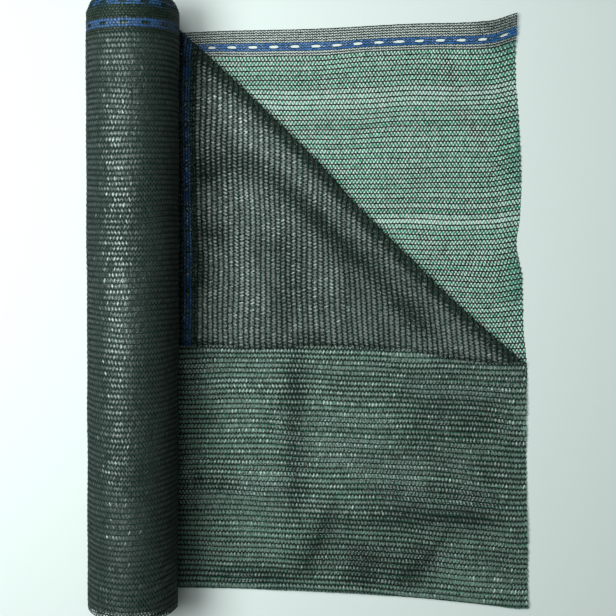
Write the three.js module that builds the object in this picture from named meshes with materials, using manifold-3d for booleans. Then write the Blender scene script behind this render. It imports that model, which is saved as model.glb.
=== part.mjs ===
// Shade cloth: a knitted net folded double along its middle and wound on a roll that lies on its side.
// A free length is pulled out flat, and the top layer's corner is turned back over it.
// Millimetres. x runs from the roll's axis to the cut end, y along the roll, z up from the surface.

import * as THREE from 'three';
import { mergeVertices } from 'three/addons/utils/BufferGeometryUtils.js';
import Module from 'manifold-3d';

const wasm = await Module();
wasm.setup();

// The cloth. s runs across it, from the lower layer's selvedge over the lengthwise fold to the upper
// layer's selvedge. t runs along it, from the cut end towards the roll.
const clothWidth = 2000;
const foldLine = clothWidth / 2;
const freeLength = 654;
const clothThickness = 1.2;
const layerStep = 2.0;
const seatGap = 0.3;

// The lengthwise fold is a soft loop that closes within a short distance of the edge. Under the roll
// the layers are pressed together.
const edgeLoopRadius = 2.2;
const edgeLoopRelax = 24;
const pressedUntil = 14;
const freeFrom = 75;

// The turned-back corner: the fold's outermost line runs from the roll to the cut end.
const turnStart = { x: 64.2, y: 470.8 };
const turnEnd = { x: 647.3, y: -94.1 };
const turnRadius = 6;
const turnRelax = 30;
const turnSettled = 48;
const turnBowReach = 70;
const turnSquash = { share: 0.5, from: 45, until: 120 };

// The roll: its radius at the two ends, the doubled cloth's outer turn, and how far it is pressed flat.
const rollRadiusSelvedge = 77.2;
const rollRadiusFold = 74;
const rollFlat = 1;
const outerTurn = 3.5;
const rollSides = 64;
const rollLengths = 7;

// Buttonholes are knitted into both selvedges at an even pitch.
const buttonhole = { length: 12, width: 4.4, fromSelvedge: 29.6, pitch: 35.2, firstFromCut: 22 };
const lowerButtonholes = 17;
const flapButtonholes = 15;

// How the long edges of the free length run, from the roll's axis to the cut end: each layer's
// selvedge, the upper one's before its corner is turned back, and the fold.
const longEdges = [
  { x: 0, lower: 461, upper: 478, fold: -471 },
  { x: 140, lower: 467, upper: 491, fold: -473 },
  { x: 300, lower: 471, upper: 493, fold: -479 },
  { x: 450, lower: 479, upper: 497, fold: -488 },
  { x: 590, lower: 484, upper: 503, fold: -502 },
  { x: 634, lower: 496, upper: 504, fold: -507 },
  { x: freeLength, lower: 501, upper: 505, fold: -507 },
];

// How far each layer's uneven cut end lies from the roll's axis.
const lowerCut = [
  { s: 0, x: 636 }, { s: 76, x: 634 }, { s: 160, x: 638 }, { s: 280, x: 643 }, { s: 344, x: 641 },
  { s: 390, x: 635 }, { s: 438, x: 644 }, { s: 537, x: 648 }, { s: 611, x: 653 }, { s: 695, x: 645 },
  { s: 735, x: 651 }, { s: foldLine, x: freeLength },
];
const upperCut = [
  { s: foldLine, x: freeLength }, { s: 1200, x: 652 }, { s: 1415, x: 650 }, { s: 1493, x: 645 },
  { s: 1555, x: 637 }, { s: 1600, x: 626 }, { s: 1720, x: 615 }, { s: 1790, x: 613.5 },
  { s: 1875, x: 615 }, { s: 1900, x: 610 }, { s: clothWidth, x: 603 },
];

// How far the turned fold bows out of a straight line, by the distance along it.
const turnBow = [
  { along: 0, out: 0 }, { along: 135, out: 3 }, { along: 320, out: 2.5 }, { along: 403, out: -3.5 },
  { along: 514, out: -6 }, { along: 643, out: -6.8 }, { along: 763, out: -2.4 }, { along: 812, out: 0 },
];

// Where the outer turn's two ends lie round the roll, in turns from where the cloth leaves it.
const turnEnds = [
  { turn: 0, selvedge: 468, fold: -472 }, { turn: 0.25, selvedge: 480, fold: -476 },
  { turn: 0.5, selvedge: 472, fold: -488 }, { turn: 0.75, selvedge: 475, fold: -476 },
  { turn: 1, selvedge: 468, fold: -472 },
];

// The other layer's selvedge stands out of the roll's end and draws in: places along the roll, and how
// far its surface is inside the outer turn's.
const innerEnd = [
  { y: 380, inset: 2.2 }, { y: 472, inset: 2.4 }, { y: 486, inset: 6 }, { y: 497, inset: 13 },
  { y: 507, inset: 25 },
];

// Soft unevenness: the cut corner lifts, the cut end ripples, the upper layer has one crease along the
// roll, and both the upper layer and the turned-back corner swell a little.
const cornerLift = { height: 5, x: 640, y: 495, reach: 58 };
const cutRipple = { height: 2.2, x: 652, wave: 34, reach: 34 };
const crease = { height: 3.2, x: 263, y: -175, halfWidth: 24, halfLength: 105 };
const upperSwell = { height: 1.8, xWave: 62, xShift: 0.8, yWave: 85, slant: 210 };
const flapSwell = { height: 2.4, xWave: 55, xShift: 1.9, yWave: 120, yShift: 0.6 };

// How the free length is divided: steps across each stretch of the cloth, and along it.
const steps = {
  lowerLayer: 17, besideEdgeLoop: 3, edgeLoop: 6, upperLayer: 11, turn: 8, settling: 4, flap: 8, along: 26,
};
const besideLoop = 40;
const beforeTurn = 8;
const edgeMargin = 3;
const normalReach = 0.4;
const acrossTries = 40;

// A smooth curve through the rows of a short table.
function curve(table, across, column, at) {
  const last = table.length - 1;
  const slope = (i) => {
    const a = table[Math.max(i - 1, 0)];
    const b = table[Math.min(i + 1, last)];
    return (b[column] - a[column]) / (b[across] - a[across]);
  };
  let k = 0;
  while (k < last - 1 && at > table[k + 1][across]) k += 1;
  const p = table[k];
  const q = table[k + 1];
  const span = q[across] - p[across];
  const u = (at - p[across]) / span;
  const v = 1 - u;
  return p[column] * v * v * (1 + 2 * u) + q[column] * u * u * (1 + 2 * v)
    + span * u * v * (slope(k) * v - slope(k + 1) * u);
}

const bell = (distance, reach) => Math.exp(-((distance / reach) ** 2));
const wave = (phase) => 0.5 + 0.5 * Math.sin(phase);

// 0 where the roll presses the cloth down and 1 where it lies free.
const freed = (x) => THREE.MathUtils.smoothstep(x, pressedUntil, freeFrom);
const loopRadius = (x) => layerStep / 2 + (edgeLoopRadius - layerStep / 2) * freed(x);

// The heights of the layers' middle surfaces over the surface that the cloth lies on.
function lowerHeight(x, y) {
  const corner = cornerLift.height * bell(x - cornerLift.x, cornerLift.reach)
    * bell(y - cornerLift.y, cornerLift.reach);
  const ripple = cutRipple.height * wave(y / cutRipple.wave) * bell(x - cutRipple.x, cutRipple.reach);
  return clothThickness / 2 + corner + ripple;
}

function upperHeight(x, y) {
  const radius = loopRadius(x);
  const fromFold = y - curve(longEdges, 'x', 'fold', x) - radius;
  const loop = bell(Math.max(fromFold, 0), edgeLoopRelax);
  const ridge = crease.height * bell(x - crease.x, crease.halfWidth) * bell(y - crease.y, crease.halfLength);
  const swell = upperSwell.height * wave(x / upperSwell.xWave + upperSwell.xShift)
    * wave(y / upperSwell.yWave + x / upperSwell.slant);
  const lift = layerStep + (2 * radius - layerStep) * loop;
  return lowerHeight(x, y) + lift + (ridge + swell) * (1 - loop) * freed(x);
}

// How high the turned-back fold stands: the roll's overhang keeps it low beside the roll.
function turnHeight(x) {
  const open = THREE.MathUtils.smoothstep(x, turnSquash.from, turnSquash.until);
  return 2 * turnRadius * THREE.MathUtils.lerp(turnSquash.share, 1, open);
}

function flapHeight(x, y, pastTurn) {
  const loop = bell(pastTurn, turnRelax);
  const swell = flapSwell.height * wave(x / flapSwell.xWave + flapSwell.xShift)
    * wave(y / flapSwell.yWave + flapSwell.yShift);
  return upperHeight(x, y) + layerStep + (turnHeight(x) - layerStep) * loop + swell * (1 - loop);
}

const turnLength = Math.hypot(turnEnd.x - turnStart.x, turnEnd.y - turnStart.y);
const turnAlong = { x: (turnEnd.x - turnStart.x) / turnLength, y: (turnEnd.y - turnStart.y) / turnLength };
const turnOut = { x: -turnAlong.y, y: turnAlong.x };

// Half the cloth's length round the lengthwise fold, at one place along the cloth.
const halfLoopAt = (t) => loopRadius(freeLength - t) * Math.PI / 2;

function flatUpper(s, t) {
  const x = curve(upperCut, 's', 'x', s) - t;
  const halfLoop = halfLoopAt(t);
  const fold = curve(longEdges, 'x', 'fold', x) + halfLoop * 2 / Math.PI;
  const selvedge = curve(longEdges, 'x', 'upper', x);
  const y = fold + (selvedge - fold) * (s - foldLine - halfLoop) / (foldLine - halfLoop);
  return { x, y };
}

// The distance of a point of the upper layer past the line where it starts to turn back.
function pastLine(s, t) {
  const p = flatUpper(s, t);
  return (p.x - turnStart.x) * turnOut.x + (p.y - turnStart.y) * turnOut.y + turnRadius;
}

function upperPoint(s, t) {
  const flat = flatUpper(s, t);
  const past = pastLine(s, t);
  const along = (flat.x - turnStart.x) * turnAlong.x + (flat.y - turnStart.y) * turnAlong.y;
  const loopArc = Math.PI * turnRadius;
  const angle = THREE.MathUtils.clamp(past / turnRadius, 0, Math.PI);
  const back = Math.max(past - loopArc, 0);
  const reached = Math.min(past, 0) + turnRadius * Math.sin(angle) - back;
  const bow = curve(turnBow, 'along', 'out', THREE.MathUtils.clamp(along, 0, turnLength));
  const move = reached - past + bow * bell(reached, turnBowReach);
  const x = flat.x + turnOut.x * move;
  const y = flat.y + turnOut.y * move;
  if (past >= loopArc) return new THREE.Vector3(x, y, flapHeight(x, y, back));
  const foot = Math.max(past, 0);
  const base = upperHeight(flat.x - turnOut.x * foot, flat.y - turnOut.y * foot);
  return new THREE.Vector3(x, y, base + turnHeight(x) / 2 * (1 - Math.cos(angle)));
}

function edgeLoopPoint(s, t) {
  const x = freeLength - t;
  const radius = loopRadius(x);
  const angle = (s - foldLine) / radius;
  const y = curve(longEdges, 'x', 'fold', x) + radius * (1 - Math.cos(angle));
  return new THREE.Vector3(x, y, lowerHeight(x, y) + radius * (1 + Math.sin(angle)));
}

function lowerPoint(s, t) {
  const x = curve(lowerCut, 's', 'x', s) - t;
  const halfLoop = halfLoopAt(t);
  const fold = curve(longEdges, 'x', 'fold', x) + halfLoop * 2 / Math.PI;
  const selvedge = curve(longEdges, 'x', 'lower', x);
  const y = fold + (selvedge - fold) * (foldLine - halfLoop - s) / (foldLine - halfLoop);
  return new THREE.Vector3(x, y, lowerHeight(x, y));
}

function clothPoint(s, t) {
  const halfLoop = halfLoopAt(t);
  if (s < foldLine - halfLoop) return lowerPoint(s, t);
  if (s <= foldLine + halfLoop) return edgeLoopPoint(s, t);
  return upperPoint(s, t);
}

function clothNormal(s, t) {
  const s0 = Math.max(s - normalReach, 0);
  const s1 = Math.min(s + normalReach, clothWidth);
  const alongS = clothPoint(s1, t).sub(clothPoint(s0, t));
  const alongT = clothPoint(s, t + normalReach).sub(clothPoint(s, t - normalReach));
  return alongT.cross(alongS).normalize();
}

// The place across the upper layer where it is a given distance past the turn's first line.
function acrossAt(past, t) {
  let low = foldLine + besideLoop;
  let high = clothWidth;
  for (let k = 0; k < acrossTries; k += 1) {
    const middle = (low + high) / 2;
    if (pastLine(middle, t) < past) low = middle;
    else high = middle;
  }
  return low;
}

// The stations across the cloth at one place along it: close together at the two folds, wide elsewhere.
function stationsAcross(t) {
  const halfLoop = halfLoopAt(t);
  const stations = [];
  const spread = (from, to, count) => {
    for (let k = 0; k < count; k += 1) stations.push(from + (to - from) * k / count);
  };
  const loopArc = Math.PI * turnRadius;
  const turnFirst = Math.min(acrossAt(-beforeTurn, t), clothWidth - 3 * edgeMargin);
  const turnLast = Math.min(acrossAt(loopArc, t), clothWidth - 2 * edgeMargin);
  const settled = Math.min(acrossAt(loopArc + turnSettled, t), clothWidth - edgeMargin);
  spread(0, foldLine - besideLoop, steps.lowerLayer);
  spread(foldLine - besideLoop, foldLine - halfLoop, 1);
  spread(foldLine - halfLoop, foldLine + halfLoop, steps.edgeLoop);
  spread(foldLine + halfLoop, foldLine + besideLoop, steps.besideEdgeLoop);
  spread(foldLine + besideLoop, turnFirst, steps.upperLayer);
  spread(turnFirst, turnLast, steps.turn);
  spread(turnLast, settled, steps.settling);
  spread(settled, clothWidth, steps.flap);
  stations.push(clothWidth);
  return stations;
}

// Joins a grid of points on both faces of a sheet into one closed geometry.
function sheetGeometry(columns) {
  const across = columns[0].length;
  const positions = [];
  const indices = [];
  const half = clothThickness / 2;
  for (const side of [1, -1]) {
    for (const column of columns) {
      for (const { point, normal } of column) {
        positions.push(...point.clone().addScaledVector(normal, side * half).toArray());
      }
    }
  }
  const under = columns.length * across;
  const quad = (a, b, c, d) => indices.push(a, b, c, a, c, d);
  for (let i = 0; i < columns.length - 1; i += 1) {
    for (let j = 0; j < across - 1; j += 1) {
      const a = i * across + j;
      const b = a + across;
      quad(a, b, b + 1, a + 1);
      quad(under + a, under + a + 1, under + b + 1, under + b);
    }
  }
  const wall = (a, b) => quad(b, a, under + a, under + b);
  const far = (columns.length - 1) * across;
  for (let j = 0; j < across - 1; j += 1) {
    wall(j + 1, j);
    wall(far + j, far + j + 1);
  }
  for (let i = 0; i < columns.length - 1; i += 1) {
    wall(i * across, (i + 1) * across);
    wall((i + 2) * across - 1, (i + 1) * across - 1);
  }
  const geometry = new THREE.BufferGeometry();
  geometry.setAttribute('position', new THREE.Float32BufferAttribute(positions, 3));
  geometry.setIndex(indices);
  return geometry;
}

function toSolid(geometry) {
  const bare = geometry.clone();
  bare.deleteAttribute('normal');
  bare.deleteAttribute('uv');
  const merged = mergeVertices(bare, 1e-4);
  return new wasm.Manifold(new wasm.Mesh({
    numProp: 3,
    vertProperties: new Float32Array(merged.attributes.position.array),
    triVerts: new Uint32Array(merged.index.array),
  }));
}

function toGeometry(solid) {
  const mesh = solid.getMesh();
  const geometry = new THREE.BufferGeometry();
  geometry.setAttribute('position', new THREE.Float32BufferAttribute(mesh.vertProperties, 3));
  geometry.setIndex(Array.from(mesh.triVerts));
  geometry.computeVertexNormals();
  return geometry;
}

// A slit with pointed ends through one layer, lying along the selvedge.
function buttonholeSolid(s, t) {
  const { length, width } = buttonhole;
  const outline = new THREE.Shape();
  outline.moveTo(-length / 2, 0);
  outline.lineTo(-length / 3, -width / 2);
  outline.lineTo(length / 3, -width / 2);
  outline.lineTo(length / 2, 0);
  outline.lineTo(length / 3, width / 2);
  outline.lineTo(-length / 3, width / 2);
  outline.closePath();
  const depth = clothThickness + 0.8;
  const slit = new THREE.ExtrudeGeometry(outline, { depth, bevelEnabled: false });
  slit.translate(0, 0, -depth / 2);
  const run = clothPoint(s, t + 1).sub(clothPoint(s, t - 1)).normalize();
  const normal = clothNormal(s, t);
  const side = normal.clone().cross(run);
  const turned = new THREE.Matrix4().makeBasis(run, side, normal);
  slit.applyMatrix4(turned.setPosition(clothPoint(s, t)));
  return toSolid(slit);
}

function looseEndGeometry() {
  const columns = [];
  for (let i = 0; i <= steps.along; i += 1) {
    const share = i / steps.along;
    const across = stationsAcross((freeLength - seatGap) * share);
    columns.push(across.map((s) => {
      const cut = curve(s < foldLine ? lowerCut : upperCut, 's', 'x', s);
      const t = (cut - seatGap) * share;
      return { point: clothPoint(s, t), normal: clothNormal(s, t) };
    }));
  }
  let solid = toSolid(sheetGeometry(columns));
  for (let k = 0; k < lowerButtonholes; k += 1) {
    const t = buttonhole.firstFromCut + k * buttonhole.pitch;
    solid = solid.subtract(buttonholeSolid(buttonhole.fromSelvedge, t));
  }
  for (let k = 0; k < flapButtonholes; k += 1) {
    const t = buttonhole.firstFromCut + k * buttonhole.pitch;
    solid = solid.subtract(buttonholeSolid(clothWidth - buttonhole.fromSelvedge, t));
  }
  return toGeometry(solid);
}

// One closed loft of the wound form. Each station is a ring that starts where the cloth leaves the
// roll: its radius, how far it is inside the outer turn, and its place along the roll by the turn.
function woundGeometry(stations, underside) {
  const positions = [];
  const indices = [];
  const ring = rollSides + 2;
  for (const { radius, inset, placeAt } of stations) {
    for (let k = 0; k <= rollSides; k += 1) {
      const turn = k / rollSides;
      const angle = 2 * Math.PI * turn;
      const reach = radius - inset - Math.max(outerTurn - inset, 0) * turn;
      const low = turn < 0.5 ? underside : outerTurn;
      const z = Math.max(radius - rollFlat - reach * Math.cos(angle), low);
      positions.push(-reach * Math.sin(angle), placeAt(turn), z);
    }
    positions.push(0, placeAt(0.5), radius - rollFlat);
  }
  const centre = ring - 1;
  const spans = stations.length - 1;
  for (let i = 0; i < spans; i += 1) {
    for (let k = 0; k < rollSides; k += 1) {
      const a = i * ring + k;
      indices.push(a, a + 1, a + ring + 1, a, a + ring + 1, a + ring);
    }
    const last = i * ring + rollSides;
    indices.push(last, i * ring, (i + 1) * ring, last, (i + 1) * ring, last + ring);
  }
  const end = spans * ring;
  for (let k = 0; k <= rollSides; k += 1) {
    const next = k === rollSides ? 0 : k + 1;
    indices.push(centre, next, k, end + centre, end + k, end + next);
  }
  const geometry = new THREE.BufferGeometry();
  geometry.setAttribute('position', new THREE.Float32BufferAttribute(positions, 3));
  geometry.setIndex(indices);
  return geometry;
}

function rollGeometry() {
  const outer = [];
  for (let i = 0; i <= rollLengths; i += 1) {
    const share = i / rollLengths;
    const radius = THREE.MathUtils.lerp(rollRadiusFold, rollRadiusSelvedge, share);
    const placeAt = (turn) => THREE.MathUtils.lerp(
      curve(turnEnds, 'turn', 'fold', turn),
      curve(turnEnds, 'turn', 'selvedge', turn),
      share,
    );
    outer.push({ radius, inset: 0, placeAt });
  }
  const inner = innerEnd.map(({ y, inset }) => ({ radius: rollRadiusSelvedge, inset, placeAt: () => y }));
  const outerSolid = toSolid(woundGeometry(outer, 0));
  return toGeometry(outerSolid.add(toSolid(woundGeometry(inner, outerTurn))));
}

function clothMaterial(colour) {
  return new THREE.MeshStandardMaterial({ color: colour, roughness: 0.55, metalness: 0 });
}

const roll = new THREE.Mesh(rollGeometry(), clothMaterial(0x2f4a40));
roll.name = 'roll';
const looseEnd = new THREE.Mesh(looseEndGeometry(), clothMaterial(0x5f8073));
looseEnd.name = 'loose_end';

const laid = new THREE.Group();
laid.add(roll, looseEnd);

// The origin is at the middle of the whole, on the surface that it lies on.
const middle = new THREE.Box3().setFromObject(laid).getCenter(new THREE.Vector3());
laid.position.set(-middle.x, -middle.y, 0);

const shadeCloth = new THREE.Group();
shadeCloth.add(laid);

export default shadeCloth;
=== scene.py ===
import math

import bpy
import numpy as np
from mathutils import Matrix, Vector


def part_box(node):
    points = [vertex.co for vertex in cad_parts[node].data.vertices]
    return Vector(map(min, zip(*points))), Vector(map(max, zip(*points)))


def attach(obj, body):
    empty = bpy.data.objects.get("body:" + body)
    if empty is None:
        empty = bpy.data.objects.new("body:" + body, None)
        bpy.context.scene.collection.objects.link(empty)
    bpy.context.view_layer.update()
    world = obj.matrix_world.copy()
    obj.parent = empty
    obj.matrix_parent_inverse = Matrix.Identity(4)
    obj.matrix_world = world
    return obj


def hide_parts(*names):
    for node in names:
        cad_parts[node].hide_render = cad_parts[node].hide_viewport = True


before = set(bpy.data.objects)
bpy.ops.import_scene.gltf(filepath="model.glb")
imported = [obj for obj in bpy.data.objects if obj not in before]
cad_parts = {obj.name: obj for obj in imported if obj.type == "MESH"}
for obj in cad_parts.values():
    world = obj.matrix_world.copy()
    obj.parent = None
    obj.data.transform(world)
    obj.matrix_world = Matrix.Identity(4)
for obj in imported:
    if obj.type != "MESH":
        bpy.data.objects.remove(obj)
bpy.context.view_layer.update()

# The stand: a camera looks straight down on a pale floor. Two broad soft lamps stand high on the
# roll's side, the larger one further towards its selvedge end, and the sky adds very little.
CAMERA_PLACE = (-0.0058, 0.0, 1.87)
CAMERA_ANGLE = 31.1
FLOOR_WIDTH = 9.0
FLOOR_COLOUR = (0.60, 0.70, 0.67, 1)
FLOOR_ROUGHNESS = 0.7
SKY_COLOUR = (0.93, 0.97, 1.0, 1)
SKY_STRENGTH = 0.06

camera = bpy.data.objects.new("camera", bpy.data.cameras.new("camera"))
camera.location = CAMERA_PLACE
camera.data.angle = math.radians(CAMERA_ANGLE)
bpy.context.collection.objects.link(camera)
bpy.context.scene.camera = camera
bpy.context.scene.view_settings.view_transform = "Standard"

bpy.ops.mesh.primitive_plane_add(size=FLOOR_WIDTH, location=(0, 0, 0))
floor = bpy.context.object
floor.name = "floor"
floor_paint = bpy.data.materials.new("floor_paint")
floor_paint.use_nodes = True
floor_shader = floor_paint.node_tree.nodes["Principled BSDF"]
floor_shader.inputs["Base Color"].default_value = FLOOR_COLOUR
floor_shader.inputs["Roughness"].default_value = FLOOR_ROUGHNESS
floor.data.materials.append(floor_paint)


def soft_lamp(name, place, width, watts):
    """A round lamp that looks at the middle of the floor."""
    lamp = bpy.data.objects.new(name, bpy.data.lights.new(name, "AREA"))
    lamp.data.shape = "DISK"
    lamp.data.size = width
    lamp.data.energy = watts
    lamp.location = place
    lamp.rotation_euler = (Vector((0, 0, 0)) - Vector(place)).to_track_quat("-Z", "Y").to_euler()
    bpy.context.collection.objects.link(lamp)


soft_lamp("key_lamp", place=(-1.3, 0.06, 1.85), width=1.2, watts=42)
soft_lamp("soft_lamp", place=(-0.9, 0.8, 2.1), width=2.6, watts=49)

sky = bpy.data.worlds.new("sky")
sky.use_nodes = True
sky.node_tree.nodes["Background"].inputs["Color"].default_value = SKY_COLOUR
sky.node_tree.nodes["Background"].inputs["Strength"].default_value = SKY_STRENGTH
bpy.context.scene.world = sky


# The lower layer of the free length: knitted net, with the chain stitches on its upper face and flat
# tapes that zigzag between the chains below. It is cut at one end and runs under the roll. Lengths
# are millimetres, x from where the cloth leaves the roll, y along the roll, and z up from the floor.
CLOTH_WIDTH = 2000.0
FOLD_LINE = 1000.0
FREE_LENGTH = 654.0
THICKNESS = 1.2
FLOOR_GAP = 0.1

# Each row of an edge is x and y, and each row of a cut is a place across the cloth and x.
FOLD_EDGE = ((0, -471), (140, -473), (300, -479), (450, -488), (590, -502), (634, -507), (654, -507))
LOWER_EDGE = ((0, 461), (140, 467), (300, 471), (450, 479), (590, 484), (634, 496), (654, 501))
LOWER_CUT = (
    (0, 636), (76, 634), (160, 638), (280, 643), (344, 641), (390, 635),
    (438, 644), (537, 648), (611, 653), (695, 645), (735, 651), (1000, 654),
)
PRESSED_TO, FREE_FROM = 14, 75
LOOP_RADIUS, LOOP_OPENING = 1, 1.2
LIFTED_CORNER = dict(x=640, y=495, reach=58, high=5)
CUT_RIPPLE = dict(x=652, reach=34, pitch=34, high=2.2)

LOOSE_END_CORNER = (0.3, -507.6)
loose_end_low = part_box("loose_end")[0]
SHIFT = np.array((
    loose_end_low.x * 1000 - LOOSE_END_CORNER[0], loose_end_low.y * 1000 - LOOSE_END_CORNER[1], 0,
))


def curve(rows, at):
    """A smooth curve through the rows of a short table."""
    across, value = np.array(rows, float).T
    last = len(across) - 1
    before = np.maximum(np.arange(last + 1) - 1, 0)
    after = np.minimum(np.arange(last + 1) + 1, last)
    slope = (value[after] - value[before]) / (across[after] - across[before])
    k = np.clip(np.searchsorted(across, at) - 1, 0, last - 1)
    span = across[k + 1] - across[k]
    u = (at - across[k]) / span
    v = 1 - u
    return (
        value[k] * v * v * (1 + 2 * u) + value[k + 1] * u * u * (1 + 2 * v)
        + span * u * v * (slope[k] * v - slope[k + 1] * u)
    )


def bell(distance, reach):
    """A smooth hump, 1 in its middle and nearly 0 at twice its reach."""
    return np.exp(-((distance / reach) ** 2))


def wave(phase):
    """A wave between 0 and 1."""
    return 0.5 + 0.5 * np.sin(phase)


def smooth(x, low, high):
    """A soft step, 0 up to the low place and 1 from the high one."""
    u = np.clip((x - low) / (high - low), 0, 1)
    return u * u * (3 - 2 * u)


def freed(x):
    """0 where the roll presses the cloth down and 1 where it lies free."""
    return smooth(x, PRESSED_TO, FREE_FROM)


def loop_radius(x):
    """The loop of the lengthwise fold is nearly flat under the roll and opens a little beside it."""
    return LOOP_RADIUS + LOOP_OPENING * freed(x)


def half_loop(t):
    """How much of the cloth's width each half of the fold's loop takes up."""
    return loop_radius(FREE_LENGTH - t) * math.pi / 2


def lower_height(x, y):
    """The middle of the lower layer's thickness, with its lifted corner and rippled cut end."""
    corner = LIFTED_CORNER["high"] * bell(x - LIFTED_CORNER["x"], LIFTED_CORNER["reach"])
    corner = corner * bell(y - LIFTED_CORNER["y"], LIFTED_CORNER["reach"])
    ripple = CUT_RIPPLE["high"] * wave(y / CUT_RIPPLE["pitch"])
    ripple = ripple * bell(x - CUT_RIPPLE["x"], CUT_RIPPLE["reach"])
    return THICKNESS / 2 + corner + ripple


def lower_point(s, t):
    """Where a place on the lower layer lies: s across from its selvedge, t along from the cut."""
    x = curve(LOWER_CUT, s) - t
    half = half_loop(t)
    fold = curve(FOLD_EDGE, x) + half * 2 / math.pi
    share = (FOLD_LINE - half - s) / (FOLD_LINE - half)
    y = fold + (curve(LOWER_EDGE, x) - fold) * share
    return np.stack([x, y, lower_height(x, y)], -1)


def edge_loop_point(s, t):
    """Where a place on the loop of the lengthwise fold lies."""
    x = FREE_LENGTH - t
    radius = loop_radius(x)
    angle = (s - FOLD_LINE) / radius
    y = curve(FOLD_EDGE, x) + radius * (1 - np.cos(angle))
    return np.stack([x, y, lower_height(x, y) + radius * (1 + np.sin(angle))], -1)


def lower_lie(s, t):
    """The lower layer, and beyond its side the fold's loop."""
    on_lower = s[..., None] < FOLD_LINE - half_loop(t)[..., None]
    return np.where(on_lower, lower_point(s, t), edge_loop_point(s, t))


def raised(lie, s, t, h):
    """A point of the cloth, raised by h towards the face that the chain stitches are on."""
    reach = 0.4
    along_s = lie(s + reach, t) - lie(s - reach, t)
    along_t = lie(s, t + reach) - lie(s, t - reach)
    out = np.cross(along_t, along_s)
    out /= np.linalg.norm(out, axis=-1, keepdims=True)
    return lie(s, t) + out * h[..., None]


def lower_cloth(s, t, h):
    return raised(lower_lie, s, t, h)


def creases(rows, x, y):
    """Soft folds, a row each: its two ends, its reach to the steep right and gentle left, its height."""
    height = 0 * x
    for x0, y0, x1, y1, right, left, high in rows:
        length = math.hypot(x1 - x0, y1 - y0)
        along = ((x - x0) * (x1 - x0) + (y - y0) * (y1 - y0)) / length
        aside = ((x - x0) * abs(y1 - y0) + (y - y0) * (x1 - x0) * (1 if y1 < y0 else -1)) / length
        run = smooth(along, -0.25 * length, 0.2 * length) * smooth(1.25 * length - along, 0, 0.45 * length)
        height = height + high * bell(aside, np.where(aside > 0, right, left)) * run
    return height


def made(name, points, faces, uv, marks, materials, kinds):
    """One mesh object from millimetre points and rows of four corners, the last repeated in a triangle."""
    mesh = bpy.data.meshes.new(name)
    triangle = faces[:, 2] == faces[:, 3]
    count = np.where(triangle, 3, 4)
    keep = np.ones(faces.shape, bool)
    keep[triangle, 3] = False
    loops = faces[keep]
    mesh.vertices.add(len(points))
    points[:, 2] = np.maximum(points[:, 2], FLOOR_GAP)
    mesh.vertices.foreach_set("co", ((points + SHIFT) / 1000).astype(np.float32).ravel())
    mesh.loops.add(len(loops))
    mesh.loops.foreach_set("vertex_index", loops.astype(np.int32))
    mesh.polygons.add(len(faces))
    mesh.polygons.foreach_set("loop_start", (np.cumsum(count) - count).astype(np.int32))
    mesh.polygons.foreach_set("material_index", kinds.astype(np.int32))
    mesh.update(calc_edges=True)
    layer = mesh.uv_layers.new(name="OFBake")
    layer.data.foreach_set("uv", uv[loops].astype(np.float32).ravel())
    for mark, values in marks.items():
        mesh.attributes.new(mark, "FLOAT", "POINT").data.foreach_set("value", values.astype(np.float32))
    for material in materials:
        mesh.materials.append(material)
    piece = bpy.data.objects.new(name, mesh)
    bpy.context.collection.objects.link(piece)
    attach(piece, "root")
    return piece


# COURSE is the length of one full zigzag along the cloth, and WALE the spacing of the chains across
# it. Beside the loose lines the tapes are narrower, so that the net looks more open there.
COURSE = 5.915
WALE = 8.88
NET_START = 45.4
NET_WALES = 216
LOOSE_LINES = (127, 342)
LOOSE_REACH = 9
LOOSE_NARROWING = 0.32

# The slits for fixing: the first one's middle along from the cut, their spacing, half their length and
# their line in from the selvedge, and how far and how wide they push the wales beside them apart.
SLIT = dict(first=22.0, pitch=35.2, half=7.4, line=29.6, push=1.1, reach=5, push_half=8.0, fade=5)

# How unevenly the stitches lie: each one along and across the cloth, and each whole wale along it.
STITCH_ALONG, STITCH_ACROSS, WALE_ALONG = 0.17, 0.12, 0.35
SHORTEST_STITCH = 1

# The whole net drifts across in slow waves that a selvedge holds still. A row is a wave's height, and
# its reach along and across the cloth.
DRIFT_WAVES = ((1.1, 53, 71), (0.6, 21, -33), (0.9, 88, -19))
WALE_WAVE, WALE_WAVE_REACH = 1.1, 61
SELVEDGE_HOLD = 60


def from_slit(t):
    """How far along the cloth a place is from the middle of the nearest slit."""
    return (t - SLIT["first"] + SLIT["pitch"] / 2) % SLIT["pitch"] - SLIT["pitch"] / 2


def pulled(s, t):
    """The wales beside a slit are pulled apart by it."""
    edge = np.minimum(s, CLOTH_WIDTH - s) - SLIT["line"]
    beside = smooth(SLIT["push_half"] - np.abs(from_slit(t)), 0, SLIT["fade"])
    push = SLIT["push"] * np.sign(edge) * bell(edge, SLIT["reach"]) * beside
    return s + np.where(s < FOLD_LINE, push, -push)


def stitch_places(chance, wales, length):
    """Where the stitches lie, a row of them for each wale: s across the cloth and t along it."""
    steps = np.arange(int(length / (COURSE / 2)) + 1)
    t = steps[None, :] * (COURSE / 2) + chance.normal(0, STITCH_ALONG, (len(wales), len(steps)))
    s = wales[:, None] + 0 * t
    drift = sum(high * np.sin(t / along + s / across) for high, along, across in DRIFT_WAVES)
    held = drift * smooth(s, 0, SELVEDGE_HOLD) * smooth(CLOTH_WIDTH - s, 0, SELVEDGE_HOLD)
    s = s + held + chance.normal(0, STITCH_ACROSS, s.shape)
    t = t + WALE_WAVE * np.sin(wales[:, None] / WALE_WAVE_REACH)
    t = t + chance.normal(0, WALE_ALONG, (len(wales), 1))
    return pulled(s, t), t


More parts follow.
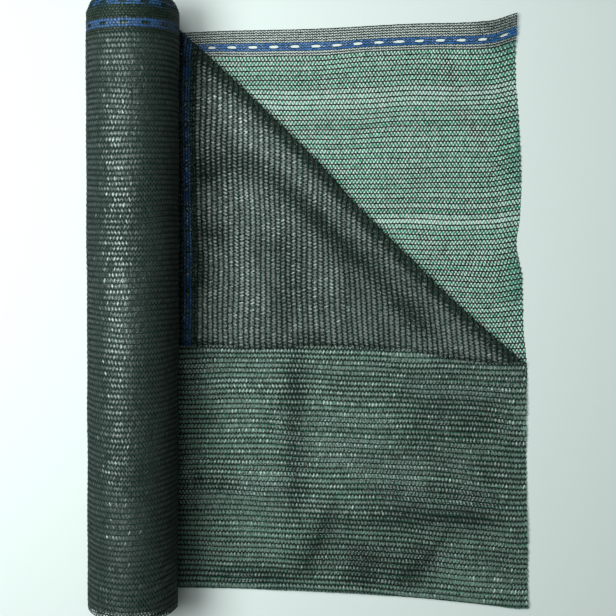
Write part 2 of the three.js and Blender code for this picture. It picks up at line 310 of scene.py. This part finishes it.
# A run of tape is a strip of six corners that is narrower at its ends, sags in its middle and leans to
# one side. A corner's row is its place on the run, its side, its share of the width, and its tone: a
# painted highlight along one side of the run's middle, and painted shade at its ends.
RUN_SHARES = {"start": 0.06, "middle": 0.5, "end": 0.94}
RUN_LEANS = {"start": 0.22, "middle": 0.38, "end": 0.22}
RUN_SAG, RUN_SAG_SPREAD, SLANT_SAG = -0.55, 0.1, 0.15
RUN_CORNERS = (
    ("start", -1, 0.7, -1.8), ("middle", -1, 1, 0.6), ("end", -1, 0.7, -1.8),
    ("end", 1, 0.7, -1.4), ("middle", 1, 1, 1.7), ("start", 1, 0.7, -1.4),
)
RUN_FACES = ((0, 1, 4, 5), (1, 2, 3, 4))
RUN_TONE, COLUMN_TONE = 0.4, 0.18
RUN_WIDTH, COLUMN_WIDTH = 0.1, 0.07
NARROWEST, WIDEST = 0.6, 1.35
UV_HALF = 0.498


def tape_runs(chance, s, t, tape, tilt, bare):
    """The tapes' runs between the wales: their corners' s, t and h, their tones, and which are wanted."""
    columns, rows = s.shape[0] - 1, s.shape[1] - 1
    j, k = np.meshgrid(np.arange(columns), np.arange(rows), indexing="ij")
    a, b = (j + k % 2, k), (j + (k + 1) % 2, k + 1)
    s0, t0, s1, t1 = s[a], t[a], s[b], t[b]
    run = np.hypot(s1 - s0, t1 - t0)
    side_s, side_t = -(t1 - t0) / run, (s1 - s0) / run
    up = np.sign(side_t)
    slant = 1 - 2 * ((j + k) % 2)
    stretch = 1 + chance.normal(0, COLUMN_WIDTH, (columns, 1)) + chance.normal(0, RUN_WIDTH, s0.shape)
    stretch = stretch - sum(LOOSE_NARROWING * bell(s0 - line, LOOSE_REACH) for line in LOOSE_LINES)
    wide = tape / 2 * np.clip(stretch, NARROWEST, WIDEST)
    leans = {part: chance.normal(lean * tilt, lean, s0.shape) for part, lean in RUN_LEANS.items()}
    sags = {"start": 0 * s0, "end": 0 * s0}
    sags["middle"] = chance.normal(RUN_SAG, RUN_SAG_SPREAD, s0.shape) + SLANT_SAG * slant
    corners = []
    for part, side, width, _ in RUN_CORNERS:
        share = RUN_SHARES[part]
        off = side * wide * width
        corners.append((
            s0 + (s1 - s0) * share + side_s * up * off,
            t0 + (t1 - t0) * share + side_t * up * off,
            sags[part] + side * leans[part],
        ))
    # The slant paints the runs that lie on top lighter and those under them darker: painted light and shade.
    each = chance.normal(0, RUN_TONE, s0.shape) + chance.normal(0, COLUMN_TONE, (columns, 1)) + slant
    tone = each[..., None] + np.array([corner[3] for corner in RUN_CORNERS])
    wanted = np.ones(s0.shape, bool) if bare is None else ~bare(j, (t0 + t1) / 2)
    return [np.stack(axis, -1) for axis in zip(*corners)] + [tone, wanted]


# A chain stitch is a small ridge of four foot corners and a crown. A corner's row is its share of the
# stitch's length, its side, its share of the crown's height, and its tone: a painted highlight on the
# crown and painted shade at its feet.
STITCH_CORNERS = (
    (-0.08, -1, 0, -1.6), (1.12, -1, 0, -1.6), (1.12, 1, 0, -1.6), (-0.08, 1, 0, -1.6), (0.62, 0, 1, 1.6),
)
STITCH_FACES = ((0, 1, 4, 4), (1, 2, 4, 4), (2, 3, 4, 4), (3, 0, 4, 4))
STITCH_WIDTH, STITCH_TONE = 0.12, 0.6
STITCH_FOOT = 0.05
CROWN_HEIGHT, CROWN_SPREAD, CROWN_ASIDE = 0.75, 0.13, 0.3


def chain_stitches(chance, s, t, chain):
    """The chains' stitches: their corners' s, t and h, and their tones. All of them are wanted."""
    s0, t0, s1, t1 = s[:, :-1], t[:, :-1], s[:, 1:], t[:, 1:]
    thick = chain / 2 * (1 + chance.normal(0, STITCH_WIDTH, s0.shape))
    crown = chance.normal(CROWN_HEIGHT, CROWN_SPREAD, s0.shape)
    aside = chance.normal(0, CROWN_ASIDE, s0.shape)
    corners = []
    for share, side, high, _ in STITCH_CORNERS:
        corners.append((
            s0 + (s1 - s0) * share + (side * thick + high * aside),
            t0 + (t1 - t0) * share,
            STITCH_FOOT + high * crown,
        ))
    tone = chance.normal(0, STITCH_TONE, s0.shape)[..., None]
    tone = tone + np.array([corner[3] for corner in STITCH_CORNERS])
    return [np.stack(axis, -1) for axis in zip(*corners)] + [tone, True]


def trimmed(ends, s, t, h, tone, wanted):
    """Cuts the stitches off at the cloth's two ends, and drops what is too short or not wanted."""
    t = np.clip(t, ends[0](s), ends[1](s))
    left = wanted & (np.ptp(t, axis=-1) > SHORTEST_STITCH)
    return s[left], t[left], h[left], tone[left]


def knit(
    name, place, wales, length, tape, chain, ends, materials, seed, bare=None, lit=None, over=None, tilt=0.6,
):
    """Knits one piece: chains along the wales, and tapes that zigzag between each two of them."""
    chance = np.random.default_rng(seed)
    s, t = stitch_places(chance, wales, length)
    tapes = trimmed(ends, *tape_runs(chance, s, t, tape, tilt, bare))
    chains = trimmed(ends, *chain_stitches(chance, s, t, chain))
    all_s, all_t, all_h, tone = (np.concatenate([a.ravel(), b.ravel()]) for a, b in zip(tapes, chains))
    marks = {"tone": tone if lit is None else tone + lit(all_s, all_t)}
    if over is not None:
        marks["turned"] = over(all_s, all_t)
    runs, stitches = tapes[0].shape, chains[0].shape
    first_run = np.arange(runs[0])[:, None] * runs[1]
    first_stitch = tapes[0].size + np.arange(stitches[0])[:, None] * stitches[1]
    quads = [first_run + np.array(face) for face in RUN_FACES]
    triangles = [first_stitch + np.array(face) for face in STITCH_FACES]
    faces = np.concatenate(quads + triangles)
    kinds = np.repeat((0, 1), (len(quads) * runs[0], len(triangles) * stitches[0]))
    half = np.repeat((0, 0.5), (tapes[0].size, chains[0].size))
    u = half + UV_HALF * (all_t - all_t.min()) / (all_t.max() - all_t.min())
    v = (all_s - all_s.min()) / (all_s.max() - all_s.min())
    return made(name, place(all_s, all_t, all_h), faces, np.stack([u, v], -1), marks, materials, kinds)


class Value:
    """A value in a material's nodes, which adds the Math nodes of the sums that it is used in."""

    def __init__(self, shade, socket):
        self.shade = shade
        self.socket = socket

    def worked(self, operation, one, other, clamp=False):
        settings = {"operation": operation, "use_clamp": clamp}
        return self.shade.node("ShaderNodeMath", settings, {0: one, 1: other})

    def __add__(self, other):
        return self.worked("ADD", self, other)

    def __radd__(self, other):
        return self.worked("ADD", other, self)

    def __sub__(self, other):
        return self.worked("SUBTRACT", self, other)

    def __rsub__(self, other):
        return self.worked("SUBTRACT", other, self)

    def __mul__(self, other):
        return self.worked("MULTIPLY", self, other)

    def __rmul__(self, other):
        return self.worked("MULTIPLY", other, self)

    def clamped(self):
        return self.worked("ADD", self, 0.0, clamp=True)


class Shade:
    """One material: its shader, and the nodes that feed it."""

    def __init__(self, name):
        self.material = bpy.data.materials.new(name)
        self.material.use_nodes = True
        self.tree = self.material.node_tree
        self.shader = self.tree.nodes["Principled BSDF"]

    def feed(self, socket, value):
        if isinstance(value, Value):
            self.tree.links.new(value.socket, socket)
        else:
            socket.default_value = value

    def node(self, kind, settings, sockets, output=0):
        """Adds a node: its settings first, then the values or links of its sockets."""
        added = self.tree.nodes.new(kind)
        for setting, value in settings.items():
            setattr(added, setting, value)
        for socket, value in sockets.items():
            self.feed(added.inputs[socket], value)
        return Value(self, added.outputs[output])

    def mark(self, name):
        return self.node("ShaderNodeAttribute", {"attribute_name": name}, {}, output="Fac")

    def mix(self, share, one, other):
        return self.node("ShaderNodeMix", {"data_type": "RGBA"}, {0: share, 6: one, 7: other}, output=2)

    def noise(self, scale, detail=2.0):
        spot = self.node("ShaderNodeTexCoord", {}, {}, output="Object")
        return self.node("ShaderNodeTexNoise", {}, {"Vector": spot, "Scale": scale, "Detail": detail})

    def glow(self, share, colour):
        """Lets light through: part of the surface is a translucent thread of its own colour."""
        outside = Value(self, self.shader.outputs[0])
        through = self.node("ShaderNodeBsdfTranslucent", {}, {"Color": colour})
        both = self.node("ShaderNodeMixShader", {}, {0: share, 1: outside, 2: through})
        self.feed(self.tree.nodes["Material Output"].inputs["Surface"], both)


PATCH_SCALE, PATCH_SHARE = 14.0, 0.5
TONE_SHARE, PLAIN_TONE = 0.3, 0.25
DULLEST, PLAIN_SHINE = 0.95, 0.5
BACK_CLOSES = 0.5
SHEEN_TINT = (0.80, 1.0, 0.93, 1)


def thread(name, deep, pale, rough, gloss, through, clear, back=None):
    """A knitted plastic yarn, as dark as its tone, which is partly painted light and shade, and greyer,
    partly painted sheen, where its back is turned up.
    """
    shade = Shade(name)
    tone = shade.mark("tone")
    amount = (tone * TONE_SHARE + shade.noise(PATCH_SCALE) * PATCH_SHARE + PLAIN_TONE).clamped()
    open_part = amount
    if back is not None:
        turned = shade.mark("turned")
        pale = shade.mix(turned, pale, back)
        open_part = amount * (1 - turned * BACK_CLOSES)
    shine = (tone * TONE_SHARE + PLAIN_SHINE).clamped()
    shade.feed(shade.shader.inputs["Base Color"], shade.mix(amount, deep, pale))
    shade.feed(shade.shader.inputs["Roughness"], DULLEST - shine * (DULLEST - rough))
    shade.feed(shade.shader.inputs["Specular IOR Level"], gloss)
    shade.feed(shade.shader.inputs["Specular Tint"], SHEEN_TINT)
    shade.glow(open_part * (clear[1] - clear[0]) + clear[0], through)
    return shade.material


GREEN_TAPE = thread(
    "green_tape", deep=(0.001, 0.004, 0.003, 1), pale=(0.050, 0.086, 0.072, 1), rough=0.3, gloss=0.9,
    through=(0.08, 0.92, 0.61, 1), clear=(0.02, 0.64),
)
GREEN_CHAIN = thread(
    "green_chain", deep=(0.001, 0.010, 0.007, 1), pale=(0.008, 0.034, 0.025, 1), rough=0.42, gloss=0.12,
    through=(0.06, 0.24, 0.17, 1), clear=(0.0, 0.03),
)


RAGGED = 0.5
SHORT_OF_ROLL = 1.0


def ragged(s):
    return RAGGED * np.sin(s * 1.9) + RAGGED * np.sin(s * 0.73)


def from_cut(cut):
    """The cloth's two ends: its slightly ragged cut end, and where it meets the roll."""
    return ragged, (lambda s: curve(cut, s) - SHORT_OF_ROLL)


# Painted shade along faint creases of the lower layer: rows as of a crease, with a darkness for the height.
LOWER_CREASE_SHADE = (
    (540, 332, 585, 270, 8, 8, 1.3), (506, 435, 535, 388, 6, 6, 1.0), (300, 370, 600, 368, 9, 9, 0.6),
    (470, 60, 600, 20, 45, 45, 0.4),
)


def lower_painted_shade(s, t):
    """Painted shade along a few faint creases."""
    x, y = np.moveaxis(lower_point(s, t)[..., :2], -1, 0)
    return -creases(LOWER_CREASE_SHADE, x, y)


main_wales = NET_START + WALE * np.arange(NET_WALES)
lower_net = knit(
    "lower_net", lower_cloth, main_wales[:NET_WALES // 2], FREE_LENGTH, tape=2.35, chain=2.2,
    ends=from_cut(LOWER_CUT), materials=[GREEN_TAPE, GREEN_CHAIN], seed=11, lit=lower_painted_shade,
)
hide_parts("loose_end")


# The upper layer of the free length: the same net over the lengthwise fold, with its far corner
# turned back on itself along a diagonal, so that the net's other face shows there.
LAYER_STEP = 2.0
UPPER_EDGE = ((0, 478), (140, 491), (300, 493), (450, 497), (590, 503), (634, 504), (654, 505))
UPPER_CUT = (
    (1000, 654), (1200, 652), (1415, 650), (1493, 645), (1555, 637), (1600, 626),
    (1720, 615), (1790, 613.5), (1875, 615), (1900, 610), (2000, 603),
)
UPPER_RIDGE = dict(x=263, y=-175, wide=24, long=105, high=3.2)
UPPER_CREASES = (
    (256, -470, 316, -330, 13, 40, 6.0), (436, -462, 520, -360, 12, 32, 4.6),
    (320, -350, 580, -356, 11, 26, 3.8), (90, -300, 220, -316, 11, 26, 3.8),
    (420, -200, 600, -238, 14, 30, 2.2), (110, -130, 300, -150, 12, 28, 2.0),
)
FLAP_CREASES = (
    (228, 226, 366, 6, 20, 52, 8.0), (118, 300, 200, 180, 15, 40, 5.0), (176, 120, 240, -50, 16, 44, 4.8),
    (96, 60, 150, 20, 14, 30, 3.0), (330, 40, 420, -60, 15, 36, 3.6),
    (80, 138, 92, 36, 17, 30, 6.5), (78, 250, 88, 196, 15, 30, 5.0), (84, -14, 104, -60, 13, 26, 3.5),
)
UPPER_SWELL, FLAP_SWELL = 1.8, 1.5
LOOP_BLEND, TURN_BLEND = 24, 30

# The corner is turned back along a diagonal between two places of the layer's edges, bowed a little
# along its length. TURN_UNDER of cloth curves up to the outermost line, and TURN_OVER curves back.
TURN_START, TURN_END = np.array((64.2, 470.8)), np.array((647.3, -94.1))
TURN_RADIUS, TURN_REACH = 6.0, 18.0
TURN_UNDER, TURN_OVER = 9.4, 19.9
TURN_LENGTH = float(np.hypot(*(TURN_END - TURN_START)))
TURN_ALONG = (TURN_END - TURN_START) / TURN_LENGTH
TURN_OUT = np.array((-TURN_ALONG[1], TURN_ALONG[0]))
TURN_BOW = ((0, 0), (135, 3), (320, 2.5), (403, -3.5), (514, -6), (643, -6.8), (763, -2.4), (812, 0))
BOW_REACH = 70
FLAT_TURN_TO, FULL_TURN_FROM = 45, 120
SELVEDGE_TUCK, TUCK_FROM, TUCK_TO, TUCK_REACH = 2.5, 1600, 1960, 60
CUT_DROOP, DROOP_REACH = 3.2, 5


def upper_height(x, y):
    """The upper layer over the fold's loop, and then close above the lower layer."""
    radius = loop_radius(x)
    loop = bell(np.maximum(y - curve(FOLD_EDGE, x) - radius, 0), LOOP_BLEND)
    ridge = UPPER_RIDGE["high"] * bell(x - UPPER_RIDGE["x"], UPPER_RIDGE["wide"])
    ridge = ridge * bell(y - UPPER_RIDGE["y"], UPPER_RIDGE["long"])
    swell = UPPER_SWELL * wave(x / 62 + 0.8) * wave(y / 85 + x / 210)
    lift = LAYER_STEP + (2 * radius - LAYER_STEP) * loop
    folds = ridge + swell + creases(UPPER_CREASES, x, y)
    return lower_height(x, y) + lift + folds * (1 - loop) * freed(x)


def turn_height(x):
    """The turned edge is twice its radius high, and half as high close to the roll."""
    return 2 * TURN_RADIUS * (0.5 + 0.5 * smooth(x, FLAT_TURN_TO, FULL_TURN_FROM))


def flap_height(x, y, past):
    """The turned back corner, which comes down from the turned edge to the upper layer."""
    loop = bell(past, TURN_BLEND)
    swell = FLAP_SWELL * wave(x / 55 + 1.9) * wave(y / 120 + 0.6) + creases(FLAP_CREASES, x, y)
    return upper_height(x, y) + LAYER_STEP + (turn_height(x) - LAYER_STEP) * loop + swell * (1 - loop)


def unturned(s, t):
    """Where the upper layer would lie with no corner turned, and its place past and along the diagonal."""
    x = curve(UPPER_CUT, s) - t
    half = half_loop(t)
    fold = curve(FOLD_EDGE, x) + half * 2 / math.pi
    y = fold + (curve(UPPER_EDGE, x) - fold) * (s - FOLD_LINE - half) / (FOLD_LINE - half)
    from_start = np.stack([x, y], -1) - TURN_START
    return x, y, from_start @ TURN_OUT + TURN_RADIUS, from_start @ TURN_ALONG


def upper_point(s, t):
    """Where a place on the upper layer lies, with its corner turned back."""
    x, y, past, along = unturned(s, t)
    angle = (np.clip(past / TURN_UNDER, 0, 1) + np.clip((past - TURN_UNDER) / TURN_OVER, 0, 1)) * math.pi / 2
    back = np.maximum(past - TURN_UNDER - TURN_OVER, 0)
    reached = np.minimum(past, 0) + TURN_RADIUS * np.sin(angle) - back
    reached = np.where(past > TURN_UNDER, TURN_RADIUS - TURN_REACH * (1 - np.sin(angle)) - back, reached)
    bow = curve(TURN_BOW, np.clip(along, 0, TURN_LENGTH))
    move = reached - past + bow * bell(reached, BOW_REACH)
    tuck = SELVEDGE_TUCK * smooth(s, TUCK_FROM, TUCK_TO) * smooth(back, 0, TUCK_REACH)
    gone_x, gone_y = x + TURN_OUT[0] * move - tuck, y + TURN_OUT[1] * move
    foot = np.maximum(past, 0)
    rising = upper_height(x - TURN_OUT[0] * foot, y - TURN_OUT[1] * foot)
    rising = rising + turn_height(gone_x) / 2 * (1 - np.cos(angle))
    resting = flap_height(gone_x, gone_y, back) - CUT_DROOP * bell(t, DROOP_REACH)
    return np.stack([gone_x, gone_y, np.where(back > 0, resting, rising)], -1)


def free_lie(s, t):
    """The whole free length: the lower layer, the fold's loop and the upper layer."""
    below = s[..., None] <= FOLD_LINE + half_loop(t)[..., None]
    return np.where(below, lower_lie(s, t), upper_point(s, t))


def free_cloth(s, t, h):
    return raised(free_lie, s, t, h)


# The upper layer's yarn is a paler copy of the green tape, its pale colour partly painted sheen; the greyer
# colour of its turned back face is that face's own colour and painted sheen.
UPPER_TAPE = thread(
    "upper_tape", deep=(0.001, 0.005, 0.003, 1), pale=(0.236, 0.312, 0.278, 1), rough=0.26, gloss=0.85,
    through=(0.07, 0.84, 0.58, 1), clear=(0.01, 0.48), back=(0.232, 0.256, 0.246, 1),
)

# Painted shade in the upper layer's and the turned back corner's creases. A darkness below 0 paints light.
UPPER_SHADE_AND_LIGHT = (
    (261, -80, 261, -335, 18, 18, 1.7), (85, -290, 170, -308, 15, 15, 1.2),
    (85, -178, 130, -190, 16, 16, 1.1), (316, -356, 264, -448, 26, 26, 1.6),
    (126, -450, 250, -454, 17, 17, 1.8), (322, -358, 574, -353, 12, 12, 1.1),
    (379, -405, 379, -466, 25, 25, 1.4), (489, -409, 438, -466, 24, 24, 1.6),
    (400, -330, 600, -330, 55, 55, 1.2), (440, -180, 600, -200, 60, 60, 1.1),
    (330, -430, 480, -430, 40, 40, 1.1), (530, -462, 650, -478, 26, 26, -1.0),
    (130, -120, 200, -240, 60, 60, -0.4), (300, -120, 300, -240, 20, 20, -0.4),
    (160, -385, 235, -385, 28, 28, -0.5),
)
FLAP_SHADE_AND_LIGHT = (
    (202, 241, 354, 98, 22, 22, 1.8), (354, 98, 498, -40, 23, 23, 1.9),
    (92, 232, 190, 246, 24, 24, 1.5), (286, 168, 380, 70, 12, 12, 1.0),
    (420, 12, 490, -42, 12, 12, 1.0), (80, 225, 130, 222, 14, 14, 1.2),
    (80, 135, 150, 120, 20, 20, 2.0), (88, 95, 100, 40, 13, 13, 3.2),
    (252, 115, 252, -12, 26, 26, 1.3), (262, -50, 310, -50, 14, 14, 1.6),
    (168, 182, 202, 182, 26, 26, -0.5), (176, 70, 180, -30, 26, 26, -0.4),
)
# Painted shade along the diagonal fold and painted light beyond it, a painted shadow at the turned corner's
# cut, and a painted highlight along the lengthwise fold.
TURN_SHADE, TURN_LIGHT = 3.4, 0.9
CUT_SHADOW, FOLD_HIGHLIGHT = 3.0, 1.6


def upper_shade_and_light(s, t):
    """Painted shade and light round the diagonal, at the cut and in the creases, and a painted highlight at
    the lengthwise fold.
    """
    past = unturned(s, t)[2]
    x, y = np.moveaxis(upper_point(s, t)[..., :2], -1, 0)
    painted_shade = TURN_SHADE * smooth(past, 4, 9) * smooth(38 - past, 0, 18) - TURN_LIGHT * bell(past - 60, 15)
    painted_shade = painted_shade + smooth(past, 30, 50) * (creases(FLAP_SHADE_AND_LIGHT, x, y) + CUT_SHADOW * bell(t, 9))
    painted_shade = painted_shade + smooth(-past, 0, 5) * creases(UPPER_SHADE_AND_LIGHT, x, y)
    return FOLD_HIGHLIGHT * bell(s - FOLD_LINE - 2, 5) - painted_shade


def turned_back(s, t):
    """1 on the turned back corner, where the net's other face shows."""
    return smooth(unturned(s, t)[2], 14, 34)


upper_net = knit(
    "upper_net", free_cloth, main_wales[NET_WALES // 2 - 1:], FREE_LENGTH, tape=2.45, chain=2.0,
    ends=from_cut(UPPER_CUT), materials=[UPPER_TAPE, GREEN_CHAIN], seed=12, lit=upper_shade_and_light, over=turned_back,
)
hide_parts("loose_end")


# The two selvedges of the free length: wales at half the spacing, with a blue marker tape in three of
# their ten columns and a row of slits for fixing in the middle one.
BAND_START = 0.3
BAND_WALE = 4.51
BAND_COLUMNS = 10
MARKER_COLUMNS = (5, 6, 7)
SLIT_COLUMN = 1
# How much darker the markers are: painted shade on the turned back layer's, and a darker colour on the
# roll's.
MARKER_DARKENING = 0.9

BLUE_TAPE = thread(
    "blue_tape", deep=(0.001, 0.014, 0.07, 1), pale=(0.016, 0.17, 0.50, 1), rough=0.28, gloss=1.2,
    through=(0.01, 0.36, 0.90, 1), clear=(0.05, 0.5),
)
BAND_TAPE = thread(
    "band_tape", deep=(0.001, 0.003, 0.002, 1), pale=(0.022, 0.034, 0.020, 1), rough=0.4, gloss=0.5,
    through=(0.10, 0.24, 0.12, 1), clear=(0.0, 0.06),
)

band_wales = BAND_START + BAND_WALE * np.arange(BAND_COLUMNS + 1)
marker_wales = band_wales[MARKER_COLUMNS[0]:MARKER_COLUMNS[-1] + 2]


def slit_part(j, t):
    """The middle one of the marker's own columns has no tape across a slit."""
    return (j == SLIT_COLUMN) & (np.abs(from_slit(t)) < SLIT["half"])


def painted_marker_shade(s, t):
    """Painted shade on the turned back layer's marker, which lies beside the roll."""
    return -MARKER_DARKENING * smooth(s, FOLD_LINE, FOLD_LINE + 1)


def selvedge(layer, band_at, marker_at, columns, cut, seed):
    """One edge of the free length: its green band, and the marker in the band's bare columns."""
    band = knit(
        layer + "_selvedge", free_cloth, band_at, FREE_LENGTH, tape=1.15, chain=1.7, ends=from_cut(cut),
        materials=[BAND_TAPE, GREEN_CHAIN], seed=seed, bare=lambda j, t: np.isin(columns[j], MARKER_COLUMNS),
    )
    marker = knit(
        layer + "_marker", free_cloth, marker_at, FREE_LENGTH, tape=3.1, chain=0.9, ends=from_cut(cut),
        materials=[BLUE_TAPE, BLUE_TAPE], seed=seed + 1, bare=slit_part, lit=painted_marker_shade,
    )
    for piece in (band, marker):
        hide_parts("loose_end")
    return [band, marker]


band_columns = np.arange(BAND_COLUMNS)
lower_trim = selvedge("lower", band_wales, marker_wales, band_columns, LOWER_CUT, seed=21)
upper_trim = selvedge(
    "upper", CLOTH_WIDTH - band_wales[::-1], CLOTH_WIDTH - marker_wales[::-1], band_columns[::-1],
    UPPER_CUT, seed=31,
)


# The roll: the same doubled cloth wound on itself. Its body is the closed wound form, with the turns'
# edges standing a little out of its two ends. It narrows at the selvedge end, inside its outer turns.
ROLL_SELVEDGE, ROLL_FOLD = 77.2, 74.0
ROLL_START, ROLL_LENGTH = -480, 955
ROLL_MIDDLE_HEIGHT = 75.0
ROLL_PRESSED = 1
OUTER_TURN = 3.5
UNDERSIDE_GAP, UNDERSIDE_LAYERS = 0.25, 3
WRINKLES = dict(y=-440, long=40, turn=0.66, wide=0.07, slant=190, pitch=2.9, high=1.6)
BODY_INSET = 4.0
BODY_FROM, BODY_TO, BODY_LINES = -474, 440, 60
NECK_LINES = (465, 478, 488, 497)
NECK_INSET = 2.0
SPIRAL_RINGS, SPIRAL_TURNS = 100, 24
SPIRAL_STANDS, SPIRAL_STEP, SPIRAL_WAVE = 2.0, 1.6, 1.4

# How far the next layer under the outer turn lies inside the roll's surface, by its place y.
INNER_END = ((380, 2.2), (472, 2.4), (486, 6), (497, 13), (507, 25))


def on_roll(turn, y, inset):
    """A point of the roll: turns from where the cloth leaves it, and how far inside its surface."""
    radius = ROLL_FOLD + (ROLL_SELVEDGE - ROLL_FOLD) * np.clip((y - ROLL_START) / ROLL_LENGTH, 0, 1)
    angle = 2 * math.pi * turn
    slack = 0.5 * np.sin(y / 57 + 3 * angle) * np.sin(y / 131 + 1.3) + 0.35 * np.sin(y / 23 - 2 * angle)
    slack = slack * np.sin(np.clip(turn, 0, 1) * math.pi) ** 0.5
    wrinkles = WRINKLES["high"] * np.sin((y - WRINKLES["slant"] * turn) / WRINKLES["pitch"])
    wrinkles = wrinkles * bell(y - WRINKLES["y"], WRINKLES["long"])
    slack = slack + wrinkles * bell(turn - WRINKLES["turn"], WRINKLES["wide"])
    reach = radius - inset - np.maximum(OUTER_TURN - inset, 0) * turn + slack
    low = np.where(turn < 0.5, UNDERSIDE_GAP, OUTER_TURN) + np.minimum(inset, UNDERSIDE_LAYERS)
    z = np.maximum(radius - ROLL_PRESSED - reach * np.cos(angle), low)
    return np.stack([-reach * np.sin(angle), y + 0 * reach, z + 0 * reach], -1)


def spiral(rim, turns, end):
    """The cloth's edges in one end of the roll: rings from its rim to its middle, out and in by turns."""
    rings = []
    for k in range(1, SPIRAL_RINGS + 1):
        share = k / (SPIRAL_RINGS + 1)
        ring = rim.copy()
        ring[:, 0] *= 1 - share
        ring[:, 2] = ROLL_MIDDLE_HEIGHT + (ring[:, 2] - ROLL_MIDDLE_HEIGHT) * (1 - share)
        phase = (share * SPIRAL_TURNS + turns) % 1
        edge = np.sin(phase * 2 * math.pi) * SPIRAL_STEP
        edge = edge + np.sin(turns * 2 * math.pi * 3 + share * 40) * SPIRAL_WAVE
        ring[:, 1] += end * (edge + SPIRAL_STANDS)
        rings.append(ring)
    return rings


def wound(name, material, around=128):
    """The closed wound form, with a spiral of edges at both of its ends."""
    turns = np.linspace(0, 1, around + 1)
    rows = []
    for y in np.linspace(BODY_FROM, BODY_TO, BODY_LINES):
        rows.append(on_roll(turns, np.full(around + 1, y), BODY_INSET))
    for y in NECK_LINES:
        rows.append(on_roll(turns, np.full(around + 1, float(y)), float(curve(INNER_END, y)) + NECK_INSET))
    rows = spiral(rows[0], turns, -1)[::-1] + rows + spiral(rows[-1], turns, 1)
    points = np.concatenate(rows)
    i, j = np.meshgrid(np.arange(len(rows) - 1), np.arange(around), indexing="ij")
    a = (i * (around + 1) + j).ravel()
    faces = np.stack([a, a + 1, a + around + 2, a + around + 1], -1)
    uv = np.stack([np.tile(turns, len(rows)), np.repeat(np.linspace(0, 1, len(rows)), around + 1)], -1)
    marks = {"tone": np.zeros(len(points))}
    return made(name, points, faces, uv, marks, [material], np.zeros(len(faces)))


WOUND_GREEN = thread(
    "wound_green", deep=(0.002, 0.005, 0.004, 1), pale=(0.016, 0.034, 0.027, 1), rough=0.5, gloss=0.3,
    through=(0.05, 0.24, 0.16, 1), clear=(0.0, 0.02),
)
roll_body = wound("roll_body", WOUND_GREEN)
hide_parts("roll")


# The roll's outer turn shows the net's tape face, and the next layer under it shows the chain face
# and stands further out at one end.
ROUND = 475.0
TURN_SELVEDGE = ((0, 468), (0.25, 476), (0.5, 472), (0.75, 478), (1, 468))
TURN_FOLD = ((0, -472), (0.25, -476), (0.5, -488), (0.75, -476), (1, -472))
TURN_INSET = 0.9
NEXT_SELVEDGE, NEXT_FOLD = 507, -478
NEXT_INSET = 0.2
ROLL_MARKER_END = 44
TOP_TURN = 0.49
# Painted shade on the roll's sides: on both, more on the side away from the lamps, some on the side towards
# them.
SIDES_SHADE, FAR_SIDE_SHADE, NEAR_SIDE_SHADE = 0.9, 1.6, 1.2

# The roll's yarn is a darker copy of the green tape: painted shade that darkens the roll's sides.
ROLL_TAPE = thread(
    "roll_tape", deep=(0.001, 0.003, 0.0025, 1), pale=(0.018, 0.032, 0.027, 1), rough=0.31, gloss=1.0,
    through=(0.06, 0.30, 0.22, 1), clear=(0.01, 0.08),
)


def outer_turn(s, t, h):
    """A point of the outer turn, whose two ends wander a little."""
    turn = t / ROUND
    low, high = curve(TURN_FOLD, turn), curve(TURN_SELVEDGE, turn)
    return on_roll(turn, high + (low - high) * s / FOLD_LINE, TURN_INSET + h)


def next_layer(s, t, h):
    """A point of the layer under the outer turn, which draws in where it stands out of the end."""
    y = NEXT_SELVEDGE - s * (NEXT_SELVEDGE - NEXT_FOLD) / FOLD_LINE
    inset = curve(INNER_END, np.clip(y, INNER_END[0][0], INNER_END[-1][0]))
    return on_roll(t / ROUND, y, inset + NEXT_INSET - h)


def all_round():
    """The two ends of a turn, just short of where the cloth leaves the roll."""
    return (lambda s: SHORT_OF_ROLL + 0 * s), (lambda s: ROUND - SHORT_OF_ROLL + 0 * s)


def painted_roll_shade(s, t):
    """Painted shade on the turns' sides, most on the side away from the lamps, and a darker marker."""
    turn = t / ROUND
    sides = SIDES_SHADE * smooth(np.abs(turn - TOP_TURN), 0.09, 0.2)
    edges = FAR_SIDE_SHADE * smooth(turn, 0.57, 0.68) + NEAR_SIDE_SHADE * smooth(0.37 - turn, 0, 0.07)
    return -sides - edges - MARKER_DARKENING * smooth(ROLL_MARKER_END - s, 0, 3)


for layer, place, seed in (("roll", outer_turn, 41), ("roll_inner", next_layer, 51)):
    net = knit(
        layer + "_net", place, main_wales[:NET_WALES // 2 + 1], ROUND, tape=2.45, chain=2.0,
        ends=all_round(), materials=[ROLL_TAPE, GREEN_CHAIN], seed=seed, lit=painted_roll_shade, tilt=0.26,
    )
    band = knit(
        layer + "_selvedge", place, band_wales, ROUND, tape=1.4, chain=1.7, ends=all_round(),
        materials=[BAND_TAPE, GREEN_CHAIN], seed=seed + 1, bare=lambda j, t: np.isin(j, MARKER_COLUMNS),
    )
    marker = knit(
        layer + "_marker", place, marker_wales, ROUND, tape=3.1, chain=0.9, ends=all_round(),
        materials=[BLUE_TAPE, BLUE_TAPE], seed=seed + 2, bare=slit_part, lit=painted_roll_shade,
    )
    for piece in (net, band, marker):
        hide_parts("roll")
